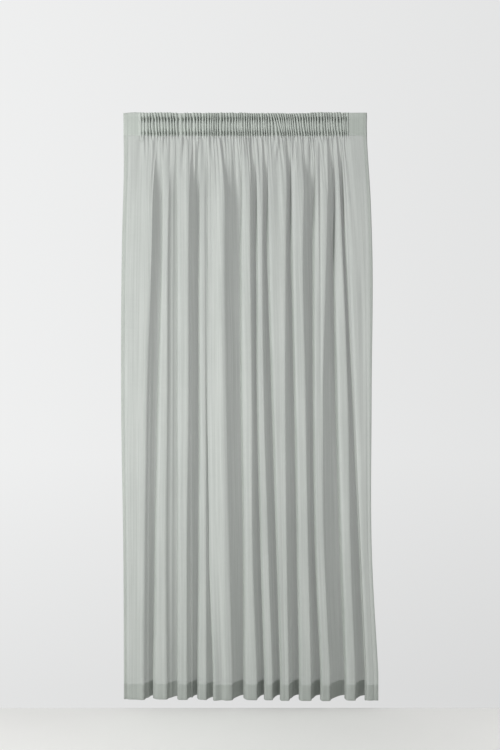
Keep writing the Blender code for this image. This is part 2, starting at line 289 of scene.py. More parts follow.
def heading_plan():
    """Cloth coordinate, x, y and pleat number of each column of the heading."""
    rng = random.Random(PLEAT_SEED)
    first_x, last_x = PLEAT_GROUPS[0][0], PLEAT_GROUPS[-1][1]
    flat = first_x - HEADING_LEFT + HEADING_RIGHT - last_x
    cloth = (FLAT_WIDTH - flat) / sum(group[2] for group in PLEAT_GROUPS)
    us, xs, ys, numbers = [], [], [], []
    u, x, number = first_x - HEADING_LEFT, first_x, 0
    reach = SET_BACK * cloth
    shares = np.array(PLEAT_SHARES)
    for from_x, to_x, pleats in PLEAT_GROUPS:
        weights = [rng.uniform(*PLEAT_SPREAD) for _ in range(pleats)]
        for weight in weights:
            pitch = (to_x - from_x) * weight / sum(weights)
            along, curve_x, curve_y = pleat_curve(pitch, cloth)
            us.extend(u + shares * cloth)
            xs.extend(x + np.interp(shares, along, curve_x))
            ys.extend(reach + np.interp(shares, along, curve_y))
            numbers.extend(number + shares)
            u, x, number = u + cloth, x + pitch, number + 1
    left = np.linspace(0, us[0], round(us[0] / FLAT_STEP), endpoint=False)
    right = np.linspace(u, FLAT_WIDTH, round((FLAT_WIDTH - u) / FLAT_STEP) + 1)
    ease_left = (left / us[0]) ** 2
    ease_right = ((FLAT_WIDTH - right) / (FLAT_WIDTH - u)) ** 2
    return (
        np.concatenate([left, us, right]),
        np.concatenate([HEADING_LEFT + left, xs, x + right - u]),
        np.concatenate([reach * ease_left, ys, reach * ease_right]),
        np.concatenate([np.zeros(len(left)), numbers, np.full(len(right), number)]),
    )


U, HEADING_X, HEADING_Y, PLEAT_NUMBER = heading_plan()
PLEATS = int(PLEAT_NUMBER[-1])


def per_pleat(low, high, seed):
    """A number between low and high for each column, which changes from pleat to pleat."""
    rng = random.Random(seed)
    values = [rng.uniform(low, high) for _ in range(PLEATS + 1)]
    return np.interp(PLEAT_NUMBER - 0.5, np.arange(PLEATS + 1), values)


FADES = PLEAT_FADES[0] + PLEAT_FADES[1] * per_pleat(0, 1, seed=11) ** 4
WANDER = per_pleat(-0.0022, 0.0022, seed=12)
FRILL_LEAN = per_pleat(-0.0030, 0.0030, seed=13)
PINCH = per_pleat(0.5, 1.5, seed=14)
SWELL = per_pleat(0.0012, 0.0030, seed=15)
TOP_BUMP = per_pleat(-0.0016, 0.0016, seed=16)
RIPPLE_SHARE = per_pleat(-1.0, 1.0, seed=17)
FROM_END = np.minimum(PLEAT_NUMBER, PLEATS - PLEAT_NUMBER)
SHALLOW_PLEATS, SHALLOWEST = 2.5, 0.35  # the pleats next to the flat ends are shallower
END_PLEATS = np.clip(FROM_END / SHALLOW_PLEATS, SHALLOWEST, 1)
# 1 in the valley between two pleats, and nearly 0 on the pleats and at the flat ends
VALLEYS = ((1 + np.cos(2 * math.pi * PLEAT_NUMBER)) / 2) ** 3 * np.clip(FROM_END, 0, 1)


CORD_PINCHES = (
    # cord row, half height, share
    (UPPER_CORD_ROW, 0.009, 1.0),
    (LOWER_CORD_ROW, 0.005, 0.5),
)
PIT_DEPTH = 0.0090  # how much further the cords pull the valleys back
SLACK, PINCHED, FRILLED = 0.30, 0.30, 0.35  # depth lost between cords, gained, lost on top


def heading_section(z):
    """Plan of the heading at a height. The pleats are pinched at both cord rows. Between
    them they are looser, and their fronts swell and close the valleys to slits."""
    lean = np.interp(HEADING_X, column(LEANS, 0), column(LEANS, 1))
    down = (z - UPPER_CORD_ROW) / (LOWER_CORD_ROW - UPPER_CORD_ROW)
    middle = math.sin(math.pi * min(max(down, 0), 1))
    x = HEADING_X + lean * down + WANDER * middle
    frill = max(z - UPPER_CORD_ROW, 0) / -UPPER_CORD_ROW
    pinch = 0.0
    for row, half_height, share in CORD_PINCHES:
        pinch += share * math.exp(-(((z - row) / half_height) ** 2))
    x = x + FRILL_LEAN * frill - SWELL * middle * np.sin(2 * math.pi * PLEAT_NUMBER)
    depth = 1 - SLACK * middle * PINCH + PINCHED * pinch * PINCH - FRILLED * frill * PINCH
    return x, HEADING_Y * END_PLEATS * depth + PIT_DEPTH * pinch * PINCH * VALLEYS


# The folds


def fold_chain(height, half_depth):
    """Plan points of all folds at one of the heights in FOLD_Z."""
    lefts, rights = column(FOLDS, 2 * height), column(FOLDS, 2 * height + 1)
    lower = (FOLD_Z[height] / FOLD_Z[-1]) ** DEEPER_POWER
    recesses = column(FOLDS, RECESS) + column(FOLDS, DEEPER) * lower
    points = []
    for i, fold in enumerate(FOLDS):
        last = i == len(FOLDS) - 1
        following = rights[i] if last else lefts[i + 1]
        tuck = 0 if last else FOLDS[i + 1][TUCK]
        for k, (over, across, depth) in enumerate(STATIONS):
            if over == "edge":
                across *= 1 + SHARP_ACROSS * fold[SHARP]
                depth += SHARP_DEPTH * fold[SHARP] * (k == 0)
            if over != "gap":
                x = lefts[i] + across * (rights[i] - lefts[i])
            else:
                x = rights[i] + across * (following - rights[i])
                x += tuck * depth * (across == 1.0)
            if over == "gap":
                sunk = (depth - SHOULDER_DEPTH) / (1 - SHOULDER_DEPTH)
                front = SHOULDER_DEPTH * fold[FACE]
                y = front + sunk * (recesses[i] - front)
            elif k == 0 and i == 0:
                y = SIDE_EDGE_DEPTH * fold[FACE]
            elif k == 0:
                y = min(depth * fold[FACE], recesses[i - 1])
            else:
                y = depth * fold[FACE]
            points.append((x / 1000, y * half_depth))
            if last and k == LAST_STATION:
                break
    return np.array(points)


def run(points):
    """Distance along a chain of points, from 0 to its whole length."""
    steps = np.hypot(*np.diff(points, axis=0).T)
    return np.concatenate([[0.0], np.cumsum(steps)])


MOST_HALF_DEPTH, DEPTH_ERROR = 0.1, 1e-5


def fold_sections():
    """Each height's plan points, as deep as the panel's width of cloth makes them."""
    sections = []
    for height in range(len(FOLD_Z)):
        low, high = 0.0, MOST_HALF_DEPTH
        while high - low > DEPTH_ERROR:
            middle = (low + high) / 2
            if BEND * run(fold_chain(height, middle))[-1] < FLAT_WIDTH:
                low = middle
            else:
                high = middle
        sections.append(fold_chain(height, low))
    return np.array(sections)


def station_cloth():
    """The cloth coordinate of each fold's points. A fold has the cloth that the heading
    has between its left edge and the next fold's, shared out as its sections are."""
    edges = np.interp(column(FOLDS, 0) / 1000, heading_section(TAPE_FOOT)[0], U)
    edges[0] = 0.0
    edges = np.append(edges, FLAT_WIDTH)
    runs = np.mean([run(section) / run(section)[-1] for section in SECTIONS], axis=0)
    firsts = list(range(0, len(runs) - 1, len(STATIONS))) + [len(runs) - 1]
    cloth = np.zeros(len(runs))
    for i, (first, last) in enumerate(zip(firsts, firsts[1:])):
        share = (runs[first : last + 1] - runs[first]) / (runs[last] - runs[first])
        cloth[first : last + 1] = edges[i] + share * (edges[i + 1] - edges[i])
    return cloth


SECTIONS = fold_sections()
CLOTH = station_cloth()


def fold_section(z, at):
    """Plan of the main folds at a height, read at the given cloth coordinates."""
    down, heights = -z, -np.array(FOLD_Z)
    stations = [
        [smooth_through(heights, SECTIONS[:, k, axis], down) for axis in (0, 1)]
        for k in range(SECTIONS.shape[1])
    ]
    xs, ys = np.array(stations).T
    return smooth_through(CLOTH, xs, at), smooth_through(CLOTH, ys, at)


FINE_POINTS, LEAST_STEP = 4000, 1e-9


def hung_straight():
    """The place on the folds' section that lies below each column of the heading."""
    top_x = heading_section(TAPE_FOOT)[0]
    fine = np.linspace(0, FLAT_WIDTH, FINE_POINTS)
    reached = np.maximum.accumulate(fold_section(TAPE_FOOT, fine)[0])
    straight = np.interp(top_x, reached + LEAST_STEP * np.arange(FINE_POINTS), fine)
    return U + HELD_BY_PLEATS * (straight - U)


HUNG = hung_straight()


def gathered(x, z):
    """How far the short gathers push the cloth back at each x, at one height."""
    back = np.zeros(len(x))
    for from_x, from_z, to_x, to_z, depth, half_width in GATHERS:
        down = (from_z - z) / (from_z - to_z)
        if not 0 < down < 1:
            continue
        centre = from_x + (to_x - from_x) * down
        width = half_width * (1 + GATHER_WIDENS * down)
        fade = min(1, down / GATHER_START) * (1 - down) ** GATHER_FADE
        back += depth * fade * np.exp(-(((x - centre) / width) ** 2))
    return back


def creased(x, z):
    """How far the long creases push the cloth back at each x, at one height."""
    back = np.zeros(len(x))
    down = min(max((TAPE_FOOT - z) / (TAPE_FOOT + DROP), 0), 1)
    start = min(down / CREASE_START, 1)
    for *places, top_depth, foot_depth, half_width in CREASES:
        centre = smooth_through(-np.array(FOLD_Z), np.array(places), np.array([-z]))[0]
        depth = top_depth + (foot_depth - top_depth) * down
        back += depth * start * np.exp(-(((1000 * x - centre) / half_width) ** 2)) / 1000
    return back


def rippled(below):
    """How far pleats that run together push the cloth back, below the tape."""
    back = np.zeros(len(U))
    for pleats, depth, deepest in RIPPLES:
        wave = np.sin(2 * math.pi * PLEAT_NUMBER / pleats + RIPPLE_SHIFT * RIPPLE_SHARE)
        fade = below / deepest * math.exp(1 - below / deepest)
        uneven = RIPPLE_EVEN + RIPPLE_UNEVEN * RIPPLE_SHARE
        back += depth * uneven * fade * wave * END_PLEATS
    return back


def eased(share):
    """A share that starts and ends gently, and stays 1 beyond 1."""
    share = min(share, 1)
    return share * share * (3 - 2 * share)


def panel_section(z):
    """Plan of the panel at a height, from the heading's top to the hem."""
    if z >= TAPE_FOOT:
        return heading_section(z)
    below = TAPE_FOOT - z
    deepened = eased(below / (TAPE_FOOT - FOLDS_FULL_Z))
    settled = eased(below / (TAPE_FOOT - SETTLED_Z))
    top_x, top_y = heading_section(TAPE_FOOT)
    x, fold_y = fold_section(z, HUNG + settled * (U - HUNG))
    x += (top_x - fold_section(TAPE_FOOT, HUNG)[0]) * math.exp(-below / SHIFT_FADES)
    y = top_y * np.exp(-((below / FADES) ** PLEAT_FADE_POWER)) + deepened * fold_y
    return x, y + rippled(below) + gathered(x, z) + creased(x, z)


def panel_rows():
    """Heights of the mesh's rows, closer where the cloth bends more."""
    rows, z = [0.0], 0.0
    for to_z, step in ROW_SPANS:
        count = max(1, round((z - to_z) / step))
        rows.extend(z + (to_z - z) * (k + 1) / count for k in range(count))
        z = to_z
    return np.array(rows)


Z = panel_rows()


def panel_surface():
    """The panel's points, a row for each height, and its normals towards the back."""
    points = np.empty((len(Z), len(U), 3))
    for i, z in enumerate(Z):
        x, y = panel_section(z)
        points[i, :, 0], points[i, :, 1], points[i, :, 2] = x, y, z
    top = np.interp(points[:, :, 0], column(TOP_EDGE, 0), column(TOP_EDGE, 1))
    top += TOP_BUMP
    near_top = np.clip(1 - Z / TAPE_TOP, 0, 1)[:, None]
    slant = HEM_SLANT * points[:, :, 0] / HEADING_RIGHT
    near_foot = np.clip((Z + 0.5 * DROP) / (-0.5 * DROP), 0, 1)[:, None]
    points[:, :, 2] += top * near_top - slant * near_foot
    across = np.gradient(points, axis=1)
    down = np.gradient(points, axis=0)
    normals = np.cross(across, down)
    normals /= np.linalg.norm(normals, axis=2, keepdims=True)
    return points, normals


POINTS, NORMALS = panel_surface()


# Making meshes


def placed(name, data):
    """A new object in the scene."""
    made = bpy.data.objects.new(name, data)
    bpy.context.scene.collection.objects.link(made)
    return made


def grid_mesh(name, points, coordinates, closed=False):
    """A smooth sheet of quads over a grid of points, with its cloth coordinates as UVs."""
    rows, columns = points.shape[:2]
    index = np.arange(rows * columns).reshape(rows, columns)
    if closed:
        index = np.vstack([index, index[:1]])
        coordinates = np.concatenate([coordinates, coordinates[:1]])
    a, b = index[:-1, :-1], index[:-1, 1:]
    c, d = index[1:, 1:], index[1:, :-1]
    faces = np.stack([a, b, c, d], axis=-1).reshape(-1, 4)
    mesh = bpy.data.meshes.new(name)
    mesh.from_pydata(points.reshape(-1, 3).tolist(), [], faces.tolist())
    corners = [
        coordinates[:-1, :-1],
        coordinates[:-1, 1:],
        coordinates[1:, 1:],
        coordinates[1:, :-1],
    ]
    layer = mesh.uv_layers.new(name="cloth")
    layer.uv.foreach_set("vector", np.stack(corners, axis=2).reshape(-1))
    mesh.shade_smooth()
    return placed(name, mesh)


def hem_places(ends, doubled):
    """Places along one side of the grid, and the layer each lies in, for cloth that is
    turned back at both ends: behind, round the edge, along the front, and back again."""
    places, layers = [], []
    first, last = ends
    for k in range(doubled[0], -1, -1):
        places.append(k)
        layers.append(1.0)
    places.append(first)
    layers.append(0.5)
    for k in range(first, last + 1):
        places.append(k)
        layers.append(0.0)
    places.append(last)
    layers.append(0.5)
    for k in range(last, doubled[1] - 1, -1):
        places.append(k)
        layers.append(1.0)
    return np.array(places), np.array(layers)


def make_panel():
    """The whole cloth in one sheet, with its top, hem and sides turned behind."""
    turned_top = int(np.argmin(abs(Z + TURNED_TOP)))
    hem_top = int(np.argmin(abs(Z - (HEM_DEPTH - DROP))))
    side_left = int(np.argmin(abs(U - SIDE_HEM)))
    side_right = int(np.argmin(abs(U - (FLAT_WIDTH - SIDE_HEM))))
    rows, row_layer = hem_places((0, len(Z) - 1), (turned_top, hem_top))
    columns, column_layer = hem_places((0, len(U) - 1), (side_left, side_right))
    layer = row_layer[:, None] + column_layer[None, :]
    points = POINTS[rows][:, columns] + LAYER_GAP * layer[..., None] * NORMALS[rows][:, columns]
    turns = row_layer == 0.5
    points[turns, :, 2] += 0.5 * LAYER_GAP * np.where(rows[turns] == 0, 1, -1)[:, None]
    flat = np.stack(np.broadcast_arrays(U[columns][None, :], Z[rows][:, None]), axis=-1)
    return grid_mesh("voile_cloth", points, flat)


def surface_at(u, z, behind=0.0):
    """Points on the panel, offset towards its back, at cloth coordinates u and heights z."""
    row = np.interp(-z, -Z, np.arange(len(Z)))
    place = np.interp(u, U, np.arange(len(U)))
    i = np.clip(row.astype(int), 0, len(Z) - 2)
    k = np.clip(place.astype(int), 0, len(U) - 2)
    s, t = (row - i)[..., None], (place - k)[..., None]
    mixed = []
    for field in (POINTS, NORMALS):
        upper = field[i, k] * (1 - t) + field[i, k + 1] * t
        lower = field[i + 1, k] * (1 - t) + field[i + 1, k + 1] * t
        mixed.append(upper * (1 - s) + lower * s)
    return mixed[0] + behind * mixed[1]


TAPE_INSET = 0.006  # the tape stops this far inside each side edge
TAPE_FRONT, TAPE_BACK = 0.0011, 0.0016  # behind the panel's front layer
TAPE_ROWS = 34
CHANNEL_HEIGHT, CHANNEL_HALF_WIDTH = 0.0004, 0.0022


def make_tape():
    """The heading tape, with raised channels over its two cords."""
    u = U[(U >= TAPE_INSET) & (U <= FLAT_WIDTH - TAPE_INSET)]
    z = np.linspace(TAPE_TOP, TAPE_FOOT, TAPE_ROWS)
    us, zs = np.meshgrid(u, z)
    relief = np.zeros_like(zs)
    for row in (UPPER_CORD_ROW, LOWER_CORD_ROW):
        relief += CHANNEL_HEIGHT * np.exp(-(((zs - row) / CHANNEL_HALF_WIDTH) ** 2))
    front = surface_at(us, zs, TAPE_FRONT)
    back = surface_at(us, zs, 0.0)
    back = back + (TAPE_BACK + relief)[..., None] * (surface_at(us, zs, 1.0) - back)
    points = np.concatenate([front, back[::-1]])
    flat = np.stack([us, zs], axis=-1)
    tape = grid_mesh("gathering_tape", points, np.concatenate([flat, flat[::-1]]), closed=True)
    close_ends(tape, points.shape)
    return tape


def close_ends(piece, shape):
    """Caps the two ends of a closed strip."""
    rows, columns = shape[:2]
    half = rows // 2
    mesh = piece.data
    faces = [list(face.vertices) for face in mesh.polygons]
    uvs = np.empty(len(mesh.loops) * 2)
    mesh.uv_layers["cloth"].uv.foreach_get("vector", uvs)
    added = []
    for k, flip in ((0, True), (columns - 1, False)):
        for row in range(half - 1):
            a, b = row * columns + k, (row + 1) * columns + k
            c, d = (rows - 2 - row) * columns + k, (rows - 1 - row) * columns + k
            added.append([d, c, b, a] if flip else [a, b, c, d])
    points = np.empty(len(mesh.vertices) * 3)
    mesh.vertices.foreach_get("co", points)
    mesh.clear_geometry()
    mesh.from_pydata(points.reshape(-1, 3).tolist(), [], faces + added)
    layer = mesh.uv_layers.new(name="cloth")
    layer.uv.foreach_set("vector", np.concatenate([uvs, np.zeros(len(added) * 8)]))
    mesh.shade_smooth()


STITCH_PITCH, STITCH_LENGTH, STITCH_WIDTH = 0.0032, 0.0024, 0.00036
STITCH_PROUD = 0.00015  # how far a stitch's middle line lies off the cloth
SEAM_INSET, HEM_SEAM_INSET = 0.002, 0.003  # how far a seam runs from the edge it holds
SIDE_SEAM_ENDS = 0.004
STITCH_SIDES = 4
STITCH_TAPERS = (0.2, 0.8)  # a stitch is full between these shares of its length
STITCH_ASIDE = (0.3, 1.0, 0.2)  # a direction in which no stitch runs


def stitch_rows():
    """Start and end points of every stitch of the seams, on the front and behind."""
    runs = []
    across = np.arange(STITCH_PITCH, FLAT_WIDTH - STITCH_PITCH, STITCH_PITCH)
    levels = (
        # z, thickness of the layers behind
        (HEM_DEPTH - DROP - HEM_SEAM_INSET, LAYER_GAP),
        (TAPE_TOP - SEAM_INSET, TAPE_BACK),
        (TAPE_FOOT + SEAM_INSET, TAPE_BACK),
    )
    for z, thickness in levels:
        for behind in (-STITCH_PROUD, thickness + STITCH_PROUD):
            level = np.full(len(across), z)
            starts = surface_at(across, level, behind)
            ends = surface_at(across + STITCH_LENGTH, level, behind)
            runs.append((starts, ends))
    down = -np.arange(SIDE_SEAM_ENDS, DROP - SIDE_SEAM_ENDS, STITCH_PITCH)
    for u in (SIDE_HEM - SEAM_INSET, FLAT_WIDTH - SIDE_HEM + SEAM_INSET):
        for behind in (-STITCH_PROUD, LAYER_GAP + STITCH_PROUD):
            side = np.full(len(down), u)
            starts = surface_at(side, down, behind)
            ends = surface_at(side, down - STITCH_LENGTH, behind)
            runs.append((starts, ends))
    starts = np.concatenate([pair[0] for pair in runs])
    ends = np.concatenate([pair[1] for pair in runs])
    return starts, ends


def make_stitches():
    """All seams' stitches as one mesh of short four-sided threads with pointed ends."""
    starts, ends = stitch_rows()
    along = ends - starts
    along /= np.linalg.norm(along, axis=1, keepdims=True)
    side = np.cross(along, STITCH_ASIDE)
    side /= np.linalg.norm(side, axis=1, keepdims=True)
    up = np.cross(along, side)
    sides = STITCH_SIDES
    rings = []
    for place in STITCH_TAPERS:
        centre = starts + (ends - starts) * place
        for k in range(sides):
            angle = 2 * math.pi * k / sides
            out = math.cos(angle) * side + math.sin(angle) * up
            rings.append(centre + 0.5 * STITCH_WIDTH * out)
    points = np.stack([starts] + rings + [ends], axis=1)
    last = 1 + 2 * sides
    faces = []
    for k in range(sides):
        following = (k + 1) % sides
        faces.append((0, 1 + following, 1 + k))
        faces.append((1 + k, 1 + following, 1 + sides + following))
        faces.append((1 + k, 1 + sides + following, 1 + sides + k))
        faces.append((last, 1 + sides + k, 1 + sides + following))
    faces = np.array(faces)
    offsets = np.arange(len(starts))[:, None, None] * (last + 1)
    faces = (faces[None] + offsets).reshape(-1, 3)
    mesh = bpy.data.meshes.new("seam_stitches")
    mesh.from_pydata(points.reshape(-1, 3).tolist(), [], faces.tolist())
    mesh.shade_smooth()
    return placed("seam_stitches", mesh)


LOOP_STEPS, LEG_POINTS = 12, 9
LOOP_RIGHT = 0.0014  # how far the loop's right leg runs inside its CAD box


def loop_route():
    """The draw cord's loop: down off the tape, round its half circle and up again."""
    left, right = LOOP_LOW.x, LOOP_HIGH.x - LOOP_RIGHT
    y = 0.5 * (LOOP_LOW.y + LOOP_HIGH.y)
    radius = 0.5 * (right - left)
    centre_z = LOOP_LOW.z + CORD_RADIUS + radius
    straight = np.linspace(LOWER_CORD_ROW, centre_z, LEG_POINTS)[:-1]
    route = [(left, y, z) for z in straight]
    for k in range(LOOP_STEPS + 1):
        turn = math.pi * k / LOOP_STEPS
        x = left + radius * (1 - math.cos(turn))
        route.append((x, y, centre_z - radius * math.sin(turn)))
    route += [(right, y, z) for z in straight[::-1]]
    return route


def make_cord():
    curve = bpy.data.curves.new("cord_loop", "CURVE")
    curve.dimensions = "3D"
    curve.bevel_depth = CORD_RADIUS
    curve.bevel_resolution = 4
    curve.use_fill_caps = True
    route = loop_route()
    spline = curve.splines.new("POLY")
    spline.points.add(len(route) - 1)
    for point, place in zip(spline.points, route):
        point.co = (*place, 1.0)
    return placed("cord_loop", curve), route


# Materials


class Nodes:
    """The nodes of a material or a world, added and joined by short calls."""

    def __init__(self, owner):
        owner.use_nodes = True
        self.owner = owner
        self.tree = owner.node_tree
        self.tree.nodes.clear()

    def add(self, kind, inputs=None, **settings):
        node = self.tree.nodes.new(kind)
        for key, value in settings.items():
            setattr(node, key, value)
        for key, value in (inputs or {}).items():
            if isinstance(value, bpy.types.NodeSocket):
                self.tree.links.new(value, node.inputs[key])
            else:
                node.inputs[key].default_value = value
        return node

    def math(self, operation, a, b=0.0):
        return self.add("ShaderNodeMath", {0: a, 1: b}, operation=operation).outputs[0]

    def weighted(self, *parts):
        """The sum of several sockets, each times its weight."""
        weighed = [self.math("MULTIPLY", socket, weight) for socket, weight in parts]
        total = weighed[0]
        for part in weighed[1:]:
            total = self.math("ADD", total, part)
        return total

    def ramp(self, fac, dark, light, low=0.0, high=1.0):
        """A colour from dark at low to light at high."""
        node = self.add("ShaderNodeValToRGB", {"Fac": fac})
        first, last = node.color_ramp.elements
        first.position, first.color = low, (*dark, 1)
        last.position, last.color = high, (*light, 1)
        return node.outputs[0]

    def stretched(self, source, scale):
        return self.add("ShaderNodeMapping", {"Vector": source, "Scale": scale}).outputs[0]

    def noise(self, vector, scale, detail=2.0, roughness=0.5):
        node = self.add(
            "ShaderNodeTexNoise",
            {"Vector": vector, "Scale": scale, "Detail": detail, "Roughness": roughness},
        )
        return node.outputs["Fac"]


def woven(nodes, uv, threads):
    """Height of a plain weave with that many threads a metre each way, from 0 to 1."""
    split = nodes.add("ShaderNodeSeparateXYZ", {"Vector": uv})
    across = nodes.math("MULTIPLY", split.outputs[0], 2 * math.pi * threads)
    along = nodes.math("MULTIPLY", split.outputs[1], 2 * math.pi * threads)
    warp = nodes.math("ABSOLUTE", nodes.math("SINE", across))
    weft = nodes.math("ABSOLUTE", nodes.math("SINE", along))
    return nodes.math("MULTIPLY", nodes.math("ADD", warp, weft), 0.5)


# How often the threads' slubs, the soft clouds and the streaks along the drop come in a
# metre of cloth, each across and along, and what share they have in its tone
WARP_SLUBS, WEFT_SLUBS = (1400, 9, 1), (9, 1400, 1)
CLOUDS, STREAKS = (6, 3, 1), (130, 1.6, 1)
SLUB_TONE, CLOUD_TONE, STREAK_TONE = 0.30, 0.20, 0.50
DARKEST_TONE, LIGHTEST_TONE = 0.38, 0.62
WEAVE_RELIEF, SLUB_RELIEF = 0.8, 0.6
ROUGHNESS_VARIES = 0.08
COVER_VARIES, COVER_BASE = 0.16, 0.18  # cover grows with weave and slubs, from below its mean


def cloth_material(name, dark, light, cover, threads, translucent, rough, painted_bands=()):
    """Woven cloth that lets light through, and shows what is behind it between its threads. cover is
    the share of it that is thread. In each band, which is a height on the flat cloth and the side of
    it, the cloth is that much closer, and its colour is scaled by that much: lighter is painted
    light, darker is painted shade."""
    nodes = Nodes(bpy.data.materials.new(name))
    uv = nodes.add("ShaderNodeUVMap", uv_map="cloth").outputs[0]
    weave = woven(nodes, uv, threads)
    warp_slubs = nodes.noise(nodes.stretched(uv, WARP_SLUBS), 1.0, 3.0, 0.6)
    weft_slubs = nodes.noise(nodes.stretched(uv, WEFT_SLUBS), 1.0, 3.0, 0.6)
    clouds = nodes.noise(nodes.stretched(uv, CLOUDS), 1.0, 3.0, 0.5)
    slubs = nodes.math("MULTIPLY", nodes.math("ADD", warp_slubs, weft_slubs), 0.5)
    streaks = nodes.noise(nodes.stretched(uv, STREAKS), 1.0, 2.0, 0.6)
    tone = nodes.weighted((slubs, SLUB_TONE), (clouds, CLOUD_TONE), (streaks, STREAK_TONE))
    colour = nodes.ramp(tone, dark, light, DARKEST_TONE, LIGHTEST_TONE)
    solid = nodes.math("MULTIPLY", nodes.math("ADD", weave, slubs), COVER_VARIES)
    solid = nodes.math("ADD", solid, cover - COVER_BASE)
    height_on_cloth = nodes.add("ShaderNodeSeparateXYZ", {"Vector": uv}).outputs[1]
    lightness = 1.0
    # Painted light and shade: each band scales the cloth's colour lighter or darker, and adds cover.
    for at_z, above, painted_lightness, more_cover in painted_bands:
        inside = nodes.math("GREATER_THAN" if above else "LESS_THAN", height_on_cloth, at_z)
        lightness = nodes.math("ADD", nodes.math("MULTIPLY", inside, painted_lightness), lightness)
        solid = nodes.math("ADD", solid, nodes.math("MULTIPLY", inside, more_cover))
    if painted_bands:
        colour = nodes.add(
            "ShaderNodeVectorMath", {"Vector": colour, "Scale": lightness}, operation="SCALE"
        ).outputs[0]
    height = nodes.weighted((weave, WEAVE_RELIEF), (slubs, SLUB_RELIEF))
    bump = nodes.add("ShaderNodeBump", {"Height": height, "Strength": 0.35, "Distance": 0.0003})
    roughness = nodes.add(
        "ShaderNodeMapRange",
        {"Value": weave, "To Min": rough + ROUGHNESS_VARIES, "To Max": rough - ROUGHNESS_VARIES},
    )
    thread = nodes.add(
        "ShaderNodeBsdfPrincipled",
        {
            "Base Color": colour,
            "Roughness": roughness.outputs[0],
            "Normal": bump.outputs[0],
            "Sheen Weight": 0.25,
            "Sheen Roughness": 0.45,
            "Specular IOR Level": 0.25,
        },
    )
    glow = nodes.add("ShaderNodeBsdfTranslucent", {"Color": colour, "Normal": bump.outputs[0]})
    lit = nodes.add(
        "ShaderNodeMixShader", {"Fac": translucent, 1: thread.outputs[0], 2: glow.outputs[0]}
    )
    gap = nodes.add("ShaderNodeBsdfTransparent")
    out = nodes.add("ShaderNodeMixShader", {"Fac": solid, 1: gap.outputs[0], 2: lit.outputs[0]})
    nodes.add("ShaderNodeOutputMaterial", {"Surface": out.outputs[0]})
    return nodes.owner


THREAD_SHADED, THREAD_LIT = 0.78, 1.12  # painted shade between the twists and painted light on them


def thread_material(name, colour, sheen):
    """Twisted sewing thread or braided cord."""
    nodes = Nodes(bpy.data.materials.new(name))
    place = nodes.add("ShaderNodeTexCoord").outputs["Object"]
    twist = nodes.add(
        "ShaderNodeTexWave",
        {"Vector": place, "Scale": 420.0, "Distortion": 1.5, "Detail": 1.0},
        bands_direction="DIAGONAL",
    )
    fuzz = nodes.noise(place, 900.0, 2.0)
    tone = nodes.weighted((twist.outputs["Fac"], 0.5), (fuzz, 0.5))
    # Painted shade where the bump is low between the twists, painted light where it is high on them;
    # the fuzz in the tone is random.
    dark = [THREAD_SHADED * c for c in colour]
    light = [THREAD_LIT * c for c in colour]
    bump = nodes.add("ShaderNodeBump", {"Height": tone, "Strength": 0.5, "Distance": 0.0002})
    roughness = nodes.add("ShaderNodeMapRange", {"Value": tone, "To Min": 0.75, "To Max": 0.55})
    shader = nodes.add(
        "ShaderNodeBsdfPrincipled",
        {
            "Base Color": nodes.ramp(tone, dark, light),
            "Roughness": roughness.outputs[0],
            "Normal": bump.outputs[0],
            "Sheen Weight": sheen,
        },
    )
    nodes.add("ShaderNodeOutputMaterial", {"Surface": shader.outputs[0]})
    return nodes.owner


FLOOR_DARK, FLOOR_LIGHT = (0.86, 0.86, 0.84), (0.90, 0.90, 0.88)


def floor_material():
    nodes = Nodes(bpy.data.materials.new("pale_floor"))
    place = nodes.add("ShaderNodeTexCoord").outputs["Object"]
    colour = nodes.ramp(nodes.noise(place, 3.0, 4.0), FLOOR_DARK, FLOOR_LIGHT)
    shader = nodes.add("ShaderNodeBsdfPrincipled", {"Base Color": colour, "Roughness": 0.8})
    nodes.add("ShaderNodeOutputMaterial", {"Surface": shader.outputs[0]})
    return nodes.owner


# Camera, light and stage

FLOOR_Z = -2.545
FLOOR_BACK = 0.000
FLOOR_SIDE, FLOOR_FRONT, FLOOR_THICKNESS = 3.2, -5.0, 0.02


def make_camera():
    camera = placed("camera", bpy.data.cameras.new("camera"))
    camera.data.lens = LENS
    camera.data.sensor_width = SENSOR
    distance = PIXEL * PICTURE_HEIGHT * LENS / SENSOR
    camera.location = (CAMERA_X, -distance, CAMERA_Z)
    camera.rotation_euler = (math.radians(90), 0, 0)
    bpy.context.scene.camera = camera


def make_floor():
    mesh = bpy.data.meshes.new("floor")
    low, high = FLOOR_Z - FLOOR_THICKNESS, FLOOR_Z
    corners = [
        (x, y, z)
        for z in (low, high)
        for x, y in (
            (-FLOOR_SIDE, FLOOR_FRONT),
            (FLOOR_SIDE, FLOOR_FRONT),
            (FLOOR_SIDE, FLOOR_BACK),
            (-FLOOR_SIDE, FLOOR_BACK),
        )
    ]
    sides = [(k, (k + 1) % 4, 4 + (k + 1) % 4, 4 + k) for k in range(4)]
    mesh.from_pydata(corners, [], [(3, 2, 1, 0), (4, 5, 6, 7)] + sides)
    floor = placed("floor", mesh)
    mesh.materials.append(floor_material())


LAMPS = (
    # name, place, aim, width, height, watts, spread in degrees
    ("key", (-2.6, -3.0, -0.5), (0.1, 0.0, -1.2), 0.9, 2.6, 144, 180),
    ("fill", (1.2, -4.2, -0.6), (0.1, 0.0, -1.3), 2.0, 2.4, 20, 180),
    ("floor_light", (1.45, -0.45, -0.9), (1.15, -0.30, -2.545), 0.5, 0.5, 0.9, 75),
)


def make_lamps():
    for name, place, aim, width, height, watts, spread in LAMPS:
        light = bpy.data.lights.new(name, "AREA")
        light.shape = "RECTANGLE"
        light.size, light.size_y = width, height
        light.energy = watts
        light.spread = math.radians(spread)
        lamp = placed(name, light)
        lamp.location = place
        towards = Vector(aim) - Vector(place)
        lamp.rotation_euler = towards.to_track_quat("-Z", "Y").to_euler()
